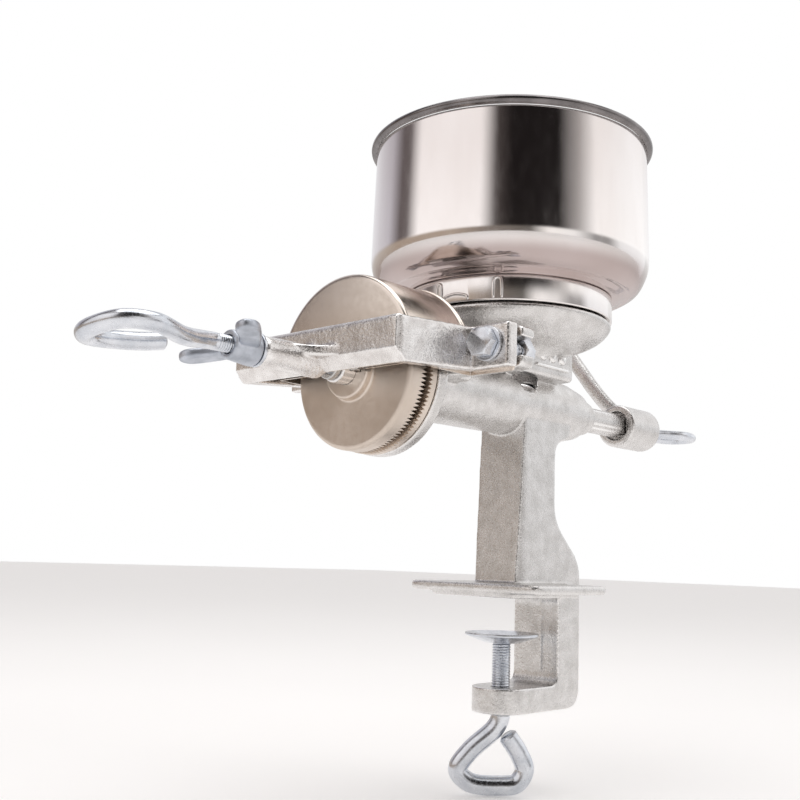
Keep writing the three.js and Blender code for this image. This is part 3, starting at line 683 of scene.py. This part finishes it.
def fixed_burr():
    r, x0, x1 = FIXED_HIGH.y, FIXED_LOW.x, FIXED_HIGH.x
    hole = BURR_HOLE_R
    profile = [(hole, x0), (27, x0), (30, x0), (r - 0.6, x0), (r, x0 + 0.5), (r, x1 - 1.2),
               (r - 0.8, x1 - 0.4), (r - 0.8, x1), (hole, x1), (hole, x0)]
    disc = lathe("fixed_burr", profile, sides=TEETH * 4, ripple=tooth_ripple({2: 0.3, 3: 1.0, 4: 1.0}, 2.4))
    sinks = []
    for side in (-1, 1):
        z = SHAFT_Z + side * BURR_SCREW_RISE
        sink = [(0, x0 - 1), (5.3, x0 - 1), (5.3, x0 + 1), (BURR_SCREW_R, x0 + 4.8), (BURR_SCREW_R, x1 + 1),
                (0, x1 + 1)]
        sinks.append(lathe("sink", sink, centre=(0, 0, z), sides=32))
    return finish(cut(disc, *sinks), "fixed_burr_plate", "frame", GROUND_TIN, "ground_iron", "fixed_burr",
                  sharp=30)


def turning_burr():
    r, x1 = BURR_HIGH.y, BURR_HIGH.x
    boss, boss_x = BURR_HOLE_R, BURR_LOW.x
    face = boss_x + 4.5
    profile = rounded([(0, boss_x), (boss, boss_x), (boss + 0.4, face), (r - 1.4, face), (r, face + 1.4),
                       (r, x1 - 5)], 1.3, steps=4)
    back = len(profile)
    profile += [(r, x1), (r - 0.6, x1), (30, x1), (24, x1 - 3), (0, x1 - 3)]
    rows = {back: 1.0, back + 1: 1.0, back + 2: 0.3}
    disc = lathe("turning_burr", profile, sides=TEETH * 4, ripple=tooth_ripple(rows, -3.8))
    slot = block("slot", (boss_x - 1, -boss - 1, SHAFT_Z - 2.6), (boss_x + 2.6, boss + 1, SHAFT_Z + 2.6))
    disc = cut(disc, bar("bore", SHAFT_R + 0.2, boss_x - 1, x1 + 1), slot)
    return finish(disc, "turning_burr_plate", "rotor", GROUND_TIN, "ground_iron", "turning_burr", sharp=30)


def auger_flight(x0, x1, inner, outer, pitch):
    """A helical blade with a root thicker than its rounded edge."""
    per_turn = 48
    count = round(per_turn * (x1 - x0) / pitch)
    section = [(inner, -2.2), (outer - 1, -1.5), (outer, -0.7), (outer, 0.7), (outer - 1, 1.5), (inner, 2.2)]
    points, faces = [], []
    for i in range(count + 1):
        x, angle = x0 + (x1 - x0) * i / count, TURN * i / per_turn
        grow = min(1.0, (i + 4) / 24, (count - i + 4) / 24)
        for r, side in section:
            blade_r = inner + (r - inner) * grow
            points.append((x + side, blade_r * math.cos(angle), SHAFT_Z + blade_r * math.sin(angle)))
    n = len(section)
    for i in range(count):
        for j in range(n):
            k = (j + 1) % n
            faces.append((i * n + j, i * n + k, (i + 1) * n + k, (i + 1) * n + j))
    faces += [tuple(range(n)), tuple(count * n + j for j in range(n))]
    return build("flight", points, faces)


def feed_auger():
    low, high = corners("feed_auger")
    hub_x = CRANK_LOW.x
    shaft = bar("shaft", SHAFT_R, low.x, hub_x - 1, edge=1.2, sides=64)
    half = SQUARE_HALF
    square = block("square", (hub_x - 3, -half, SHAFT_Z - half), (high.x, half, SHAFT_Z + half), 0.6)
    collar_ring = bar("collar", 13, 42, 47.5, edge=1)
    solid = joined(shaft, square, collar_ring, auger_flight(-97, 38, SHAFT_R - 1.4, 13, 34))
    pin_low, pin_high = corners("drive_pin")
    pin_hole = cross_bar("pin_hole", 2.4, 20, (pin_low.x + pin_high.x) / 2)
    solid = cut(solid, pin_hole, bar("screw_hole", THUMB_SCREW_R + 0.2, high.x - 24, high.x + 1))
    return finish(solid, "auger_and_shaft", "rotor", CAST_TIN, "tinned_casting", "feed_auger", sharp=40)


def plain_round(node, name, body, material, slot, edge, hole=0.0):
    """A washer, pin or pad along X that fills its CAD node's box."""
    low, high = corners(node)
    y, z, r = (low.y + high.y) / 2, (low.z + high.z) / 2, (high.z - low.z) / 2
    solid = bar(name, r, low.x, high.x, y, z, edge=edge, sides=56)
    if hole:
        solid = cut(solid, bar("hole", hole, low.x - 1, high.x + 1, y, z))
    return finish(solid, name, body, material, slot, node, sharp=40)


def drive_pin():
    low, high = corners("drive_pin")
    x, r = (low.x + high.x) / 2, (high.x - low.x) / 2
    pin = cross_bar("pin", r, high.y, x, edge=0.5, sides=32)
    return finish(pin, "drive_pin_bright", "rotor", STEEL, "plain_steel", "drive_pin", sharp=40)


# Yoke and its fasteners

def yoke():
    x0, x1 = -155, -147
    half, arm, boss, neck = 58.5, 7, 7.8, 7.2
    foot, height, rise, ear_depth = SHAFT_Z - 5, 21.5, 4.5, 8
    ear_x, ear = YOKE_HIGH.x, YOKE_HIGH.y
    back = x1 - 0.3
    bridge = [(x0, foot + 5.7), (x1 - 2, foot), (back, foot), (back, foot + height),
              (x0 + 1.5, foot + height), (x0, foot + height - 2)]
    solids = [prism("bridge", bridge, "Y", -half + 1, half - 1)]
    slope = rise / (ear_x - x1)
    climb = Matrix.Translation((0, 0, -slope * x1 * MM)) @ Matrix(
        ((1, 0, 0, 0), (0, 1, 0, 0), (slope, 0, 1, 0), (0, 0, 0, 1)))
    for side in SIDE_NAMES.values():
        outline = [(x0, half - arm), (x0, half - 3), (x0 + 3, half), (ear_x - ear_depth, half - 2.9),
                   (ear_x - ear_depth, ear - 1), (ear_x - ear_depth + 1, ear), (ear_x - 1, ear),
                   (ear_x, ear - 1), (ear_x, half - 2.9 - arm), (x1, half - arm)]
        limb = prism("arm", [(x, side * y) for x, y in outline], "Z", foot, foot + height, 0.8)
        limb.data.transform(climb)
        chamfer = prism("chamfer", [(x0 - 1, foot - 2), (x0 - 1, foot + 6.6), (x1, foot - 2)], "Y", -ear, ear)
        solids.append(cut(limb, chamfer))
    flare = rounded([(x0 - 16, neck - 2), (x0 - 6, boss + 2), (x0 + 2, 24)], 14, steps=10)
    web = [(x1 - 2, 24), *reversed(flare)]
    web += [(x, -y) for x, y in reversed(web)]
    solids.append(prism("web", web, "Z", SHAFT_Z + 0.7, SHAFT_Z + 6, 1))
    profile = [(0, YOKE_LOW.x), (neck, YOKE_LOW.x), (boss, x0), (boss, x1 - 1), (0, x1 - 1)]
    solids.append(lathe("boss", rounded(profile, 3)))
    holes = [bar("hole", BOLT_HOLE_R, ear_x - 11, ear_x + 2, side * BOLT_Y, BOLT_Z)
             for side in SIDE_NAMES.values()]
    solid = cut(joined(*solids), bar("bore", ADJUSTER_HOLE_R, YOKE_LOW.x - 1, x1 + 1), *holes)
    cast(solid, 0.7, 4, grain=0.14, grain_size=2.2)
    return finish(solid, "yoke_casting", "frame", ROUGH_TIN, "tinned_casting", "yoke")


def hex_blank(name, x0, x1, y, z, flats):
    """A hexagonal head or nut with the corners of its low end turned off."""
    r = flats / math.sqrt(3)
    outline = [(y + r * math.cos(TURN * k / 6), z + r * math.sin(TURN * k / 6)) for k in range(6)]
    face = 0.92 * flats / 2
    turned = [(0, x0), (face * 0.6, x0), (face, x0), (r + 0.1, x0 + (r - face) * 0.55), (r + 0.1, x1),
              (0, x1)]
    return combine("INTERSECT", prism(name, outline, "X", x0, x1),
                   [lathe("turned", turned, centre=(0, y, z), sides=64)])


def yoke_fasteners():
    for label, side in SIDE_NAMES.items():
        low, high = corners(f"yoke_bolt_{label}")
        y, z = side * BOLT_Y, BOLT_Z
        head_end = low.x + BOLT_HEAD
        knots = [(x, y, z) for x in (head_end - 2, head_end + 12, high.x - 8, high.x)]
        shank = sweep("shank", knots, BOLT_R, spacing=0.2, sides=24, thread=(24, 60, FINE_PITCH, 0.55))
        bolt = joined(hex_blank("head", low.x, head_end, y, z, BOLT_FLATS), shank)
        finish(bolt, f"bolt_{label}", "frame", ZINC, "zinc_steel", f"yoke_bolt_{label}", sharp=30)
        nut_low, nut_high = corners(f"yoke_nut_{label}")
        nut = cut(hex_blank("nut", nut_low.x, nut_high.x, y, z, BOLT_FLATS),
                  bar("hole", BOLT_R + 0.2, nut_low.x - 1, nut_high.x + 1, y, z))
        finish(nut, f"nut_{label}", "frame", ZINC, "zinc_steel", f"yoke_nut_{label}", sharp=30)
        plain_round(f"yoke_washer_{label}", f"washer_{label}", "frame", ZINC, "zinc_steel", 0.35, hole=4.2)


def burr_screws():
    for label in ("upper", "lower"):
        low, high = corners(f"burr_screw_{label}")
        z = (low.z + high.z) / 2
        profile = [(0, low.x), (4.5, low.x), (4.7, low.x + 0.3), (3, low.x + 3.6), (3, high.x), (0, high.x)]
        screw = lathe("screw", profile, centre=(0, 0, z), sides=40)
        slot = block("slot", (low.x - 1, -0.6, z - 6), (low.x + 1.2, 0.6, z + 6))
        finish(cut(screw, slot), f"slotted_screw_{label}", "frame", STEEL, "plain_steel",
               f"burr_screw_{label}", sharp=30)


# Bent-rod screws

def adjusting_screw():
    tip = corners("adjusting_screw")[1].x
    z = SHAFT_Z
    knots = [(tip, 0, z), (-160, 0, z), (-210, 0, z), (-213, 0, z), (-221, -3, z - 1), (-236, -11, z - 3),
             (-255, -18, z - 1.6), (-267, -13, z - 2), (-273, 0, z - 5), (-268, 12, z - 5.5),
             (-256, 17, z - 4.5), (-240, 16, z - 3), (-228, 14, z - 1)]
    rod = sweep("rod", knots, ADJUSTER_R, spacing=0.2, sides=28, thread=(0.5, 68, FINE_PITCH, 0.5))
    return finish(rod, "adjusting_rod", "adjuster", ZINC, "zinc_steel", "adjusting_screw", sharp=60)


def clamp_screw():
    top = corners("clamp_screw")[1].z
    knots = [(0, 0, top), (0, 0, -45), (0, 0, -60), (0, 0, -67), (-2, 2, -73), (-12, 12, -86),
             (-16.5, 16.5, -96), (-12, 12, -102.5), (0, 0, -104), (7, -7, -102.5), (10, -10, -95),
             (7.5, -7.5, -86), (1.5, -3.5, -76)]
    rod = sweep("rod", knots, CLAMP_SCREW_R, spacing=0.22, sides=32, thread=(0.5, 42, CLAMP_PITCH, 0.65),
                up=(0, 1, 0))
    return finish(rod, "clamp_rod", "clamp_screw", ZINC, "zinc_steel", "clamp_screw", sharp=60)


def clamp_pad():
    low, high = corners("clamp_pad")
    r = high.x
    profile = rounded([(0, low.z + 2), (6, low.z + 2), (7.5, low.z), (10, low.z), (r, high.z - 1.6),
                       (r, high.z), (r - 1.5, high.z), (9, low.z + 3.4), (0, low.z + 3.4)], 0.8, steps=4)
    return finish(lathe("pad", profile, "Z"), "cupped_pad", "pad", ZINC, "zinc_steel", "clamp_pad", sharp=50)


def wing_nut():
    hub_x = corners("lock_washer")[0].x - 0.3
    z = SHAFT_Z
    hub_profile = [(0, hub_x - 15), (6.8, hub_x - 15), (8.2, hub_x - 2), (8.2, hub_x), (0, hub_x)]
    hub = lathe("hub", rounded(hub_profile, 1.2))
    wings = []
    for side in SIDE_NAMES.values():
        outline = rounded([(hub_x - 1, 5), (hub_x - 12, 5), (hub_x - 18, 12), (hub_x - 25.5, 18),
                           (hub_x - 25, 25), (hub_x - 17, 26), (hub_x - 8, 16)], 5, closed=True)
        wings.append(prism("wing", [(x, side * y) for x, y in outline], "Z", z - 2.4, z + 2.4, 1.5))
    nut = joined(hub, *wings)
    centre = Matrix.Translation((0, 0, z * MM))
    nut.data.transform(centre @ Matrix.Rotation(math.radians(-12), 4, "X") @ centre.inverted())
    cast(cut(nut, bar("bore", ADJUSTER_HOLE_R, hub_x - 20, hub_x + 2)), 0.5, 5, grain=0.08, grain_size=1.6)
    return finish(nut, "wing_nut_cast", "wing_nut", DULL_ZINC, "zinc_steel", "wing_nut")


# Crank

def crank():
    x0, x1, r = CRANK_LOW.x, CRANK_HIGH.x, CRANK_HUB_R
    half = SQUARE_HALF + 0.3
    hub_profile = [(0, x0), (r - 1.2, x0), (r, x0 + 1.2), (r, x1 - 5), (r - 4, x1), (0, x1)]
    hub = lathe("hub", rounded(hub_profile, 1.5))
    knots = [(134, 4, SHAFT_Z + 6), (130, 17, SHAFT_Z + 20), (128, 36, SHAFT_Z + 45), (130, 63, SHAFT_Z + 80),
             (135, GRIP_Y - 6, GRIP_Z - 8), (137, GRIP_Y, GRIP_Z)]
    arm = sweep("arm", knots, 3.7, spacing=1.2, sides=16, flat=1.35)
    eye = bar("eye", 10, 130, 144, GRIP_Y, GRIP_Z, edge=1.5)
    solid = cut(joined(hub, arm, eye),
                bar("recess", SHAFT_R + 1.6, x0 - 1, x0 + 3),
                block("square", (x0 + 2, -half, SHAFT_Z - half), (x1 - 2, half, SHAFT_Z + half)),
                bar("screw_hole", THUMB_SCREW_R + 1.2, x1 - 4, x1 + 1),
                bar("pin_hole", GRIP_PIN_R + 0.4, 129, 146, GRIP_Y, GRIP_Z))
    cast(solid, 0.7, 5, grain=0.14)
    return finish(solid, "crank_casting", "rotor", CAST_TIN, "tinned_casting", "crank_arm")


def crank_screw():
    x, z = CRANK_HIGH.x + 0.3, SHAFT_Z
    knots = [(x - 22, 0, z), (x - 4, 0, z), (x + 10, 0, z), (x + 20, -5, z), (x + 32, -12, z),
             (x + 46, -10, z), (x + 51, 0, z), (x + 46, 10, z), (x + 32, 12, z), (x + 22, 7, z)]
    rod = sweep("rod", knots, THUMB_SCREW_R, spacing=0.2, sides=24, thread=(0.5, 21, 1.0, 0.4))
    shoulder = bar("shoulder", 7, x + 2.1, x + 4.6, edge=0.5)
    return finish(joined(rod, shoulder), "crank_thumb_screw", "rotor", ZINC, "zinc_steel", "crank_screw",
                  sharp=60)


def grip():
    x0, x1, r = GRIP_LOW.x, GRIP_HIGH.x, GRIP_HIGH.z - GRIP_Z
    bore, sink = GRIP_PIN_R + 0.5, 7.6
    profile = [(bore, x0), (r - 4.4, x0), (r - 2.2, x0 + 2.5), (r - 2, x0 + 8), (r - 3, x0 + 12),
               (r - 2.3, x0 + 20), (r, x0 + 42), (r - 0.8, x0 + 66), (r - 4.2, x1 - 5), (r - 6, x1 - 1),
               (sink, x1), (sink, x1 - 5), (bore, x1 - 5)]
    body = rounded(profile, 4, closed=True, steps=6)
    body = lathe("grip", [*body, body[0]], centre=(0, GRIP_Y, GRIP_Z))
    return finish(body, "turned_grip", "grip", WOOD, "turned_wood", "grip_handle", sharp=50)


def grip_pin():
    shank = bar("shank", GRIP_PIN_R, PIN_LOW.x, PIN_HIGH.x - 3, GRIP_Y, GRIP_Z, edge=0.6)
    head_x = PIN_HIGH.x
    dome = [(0, head_x - 3.2), (6.6, head_x - 3.2), (6.4, head_x - 1.4), (3.5, head_x - 0.2), (0, head_x)]
    head = lathe("head", rounded(dome, 1), centre=(0, GRIP_Y, GRIP_Z), sides=56)
    slot = block("slot", (head_x - 1.2, GRIP_Y - 8, GRIP_Z - 0.7), (head_x + 1, GRIP_Y + 8, GRIP_Z + 0.7))
    return finish(cut(joined(shank, head), slot), "grip_screw", "rotor", ZINC, "zinc_steel", "grip_pin",
                  sharp=40)


def grip_nut():
    low, high = corners("grip_nut")
    nut = cut(hex_blank("nut", low.x, high.x, GRIP_Y, GRIP_Z, 12),
              bar("hole", GRIP_PIN_R + 0.2, low.x - 1, high.x + 1, GRIP_Y, GRIP_Z))
    return finish(nut, "grip_lock_nut", "rotor", ZINC, "zinc_steel", "grip_nut", sharp=30)


# Floor, light and camera

def floor():
    """A wide pale floor under the lowest point of the mill."""
    z = cad_box[0].z / MM - 0.5
    reach = 9000
    square = [(-reach, -reach, z), (reach, -reach, z), (reach, reach, z), (-reach, reach, z)]
    plane = build("floor", square, [(0, 1, 2, 3)])
    paint = surface("pale_floor", (0.93, 0.92, 0.91), (0.95, 0.94, 0.93), (0.8, 0.9), [(2.0, 0.01)],
                    blotch=300, metallic=0.0)
    shader = paint.node_tree.nodes["Principled BSDF"]
    shader.inputs["Emission Color"].default_value = (1.0, 0.98, 0.96, 1)
    shader.inputs["Emission Strength"].default_value = 0.22
    plane.data.materials.append(paint)


def studio_world():
    """Soft studio surroundings: bright boxes to the left and right, a dim room behind the camera."""
    world = bpy.data.worlds.new("studio")
    bpy.context.scene.world = world
    world.use_nodes = True
    tree = world.node_tree
    background = tree.nodes["Background"]
    direction = tree.nodes.new("ShaderNodeTexCoord").outputs["Generated"]
    split = tree.nodes.new("ShaderNodeSeparateXYZ")
    tree.links.new(direction, split.inputs[0])
    turn = maths(tree, "DIVIDE", maths(tree, "ARCTAN2", split.outputs["Y"], split.outputs["X"]), TURN)
    turn = maths(tree, "FRACT", maths(tree, "ADD", turn, 1.0), 0.0)
    # Colours by direction round the mill, from +X towards +Y: a grey wall, a dark gap, a bright panel on
    # the burrs' side, a dark room, and a bright panel on the near side
    high = ramp(tree, turn, [
        (0.0, (0.95, 0.95, 0.95)), (0.15, (0.8, 0.8, 0.82)), (0.28, (0.52, 0.5, 0.54)),
        (0.325, (0.12, 0.1, 0.1)), (0.35, (0.15, 0.13, 0.13)), (0.385, (1.0, 0.97, 0.96)),
        (0.54, (1.0, 0.97, 0.96)), (0.575, (0.06, 0.05, 0.048)), (0.61, (0.012, 0.01, 0.01)),
        (0.715, (0.012, 0.01, 0.01)), (0.765, (0.4, 0.38, 0.37)), (0.81, (1.0, 0.98, 0.97)),
        (0.9, (1.0, 1.0, 1.0)),
    ])
    # The same near the horizon, where the room is browner
    low = ramp(tree, turn, [
        (0.0, (0.7, 0.7, 0.7)), (0.25, (0.45, 0.40, 0.36)), (0.33, (0.36, 0.29, 0.235)),
        (0.48, (0.38, 0.31, 0.255)), (0.56, (0.2, 0.17, 0.15)), (0.65, (0.12, 0.11, 0.1)),
        (0.69, (0.9, 0.87, 0.85)), (0.75, (0.8, 0.78, 0.77)), (0.80, (0.3, 0.29, 0.29)),
        (0.84, (0.3, 0.29, 0.29)), (0.875, (0.8, 0.8, 0.81)), (0.95, (0.85, 0.85, 0.86)),
    ])
    # Shade by height: a little darker above the panels, and a dark ring round the top light
    shade = ramp(tree, split.outputs["Z"], [
        (0.26, (1, 1, 1)), (0.42, (0.82, 0.8, 0.8)), (0.6, (1, 1, 1)), (0.74, (1, 1, 1)),
        (0.8, (0.35, 0.34, 0.34)), (0.9, (0.35, 0.34, 0.34)), (0.96, (1, 1, 1)),
    ])
    shaded = mixed(tree, 1.0, high, shade, "MULTIPLY")
    lift = tree.nodes.new("ShaderNodeMapRange")
    lift.interpolation_type = "SMOOTHSTEP"
    lift.inputs["From Min"].default_value = 0.16
    lift.inputs["From Max"].default_value = 0.30
    tree.links.new(split.outputs["Z"], lift.inputs["Value"])
    tree.links.new(mixed(tree, lift.outputs["Result"], low, shaded), background.inputs["Color"])
    background.inputs["Strength"].default_value = 1.12
    seen = tree.nodes.new("ShaderNodeBackground")
    seen.inputs["Color"].default_value = (1, 1, 1, 1)
    choose = tree.nodes.new("ShaderNodeMixShader")
    tree.links.new(tree.nodes.new("ShaderNodeLightPath").outputs["Is Camera Ray"], choose.inputs["Fac"])
    tree.links.new(background.outputs[0], choose.inputs[1])
    tree.links.new(seen.outputs[0], choose.inputs[2])
    tree.links.new(choose.outputs[0], tree.nodes["World Output"].inputs["Surface"])


def soft_light(name, place, target, size, watts):
    data = bpy.data.lights.new(name, "AREA")
    data.size = size
    data.energy = watts
    light = bpy.data.objects.new(name, data)
    light.location = place
    light.rotation_mode = "QUATERNION"
    light.rotation_quaternion = (Vector(target) - Vector(place)).to_track_quat("-Z", "Y")
    bpy.context.scene.collection.objects.link(light)


def camera():
    """Camera a little below the hopper, looking up at the mill from the burr's side."""
    yaw, pitch, roll = (math.radians(a) for a in (43.6, 8.62, -1.92))
    forward = Vector((math.cos(yaw) * math.cos(pitch), math.sin(yaw) * math.cos(pitch), math.sin(pitch)))
    level = Vector((math.sin(yaw), -math.cos(yaw), 0))
    upright_axis = level.cross(forward)
    right = math.cos(roll) * level - math.sin(roll) * upright_axis
    up = math.sin(roll) * level + math.cos(roll) * upright_axis
    data = bpy.data.cameras.new("camera")
    data.lens = 47.63
    data.sensor_width = 36
    data.clip_start, data.clip_end = 0.01, 50
    cam = bpy.data.objects.new("camera", data)
    turn = Matrix((right, up, -forward)).transposed().to_4x4()
    cam.matrix_world = Matrix.Translation((-0.4889, -0.3795, 0.0182)) @ turn
    bpy.context.scene.collection.objects.link(cam)
    bpy.context.scene.camera = cam


body_casting()
bowl()
rim()
collar()
hood()
fixed_burr()
turning_burr()
feed_auger()
drive_pin()
plain_round("thrust_pad", "thrust_disc", "thrust", STEEL, "plain_steel", 0.8)
yoke()
yoke_fasteners()
burr_screws()
adjusting_screw()
plain_round("lock_washer", "adjuster_washer", "washer", ZINC, "zinc_steel", 0.35, hole=4.3)
wing_nut()
crank()
crank_screw()
plain_round("crank_washer", "crank_hub_washer", "rotor", ZINC, "zinc_steel", 0.35, hole=3.5)
grip()
grip_pin()
grip_nut()
clamp_screw()
clamp_pad()
floor()
studio_world()
soft_light("overhead", (-0.1, -0.1, 1.5), (0, 0, 0.1), 1.4, 9)
camera()
bpy.context.scene.view_settings.view_transform = "Standard"
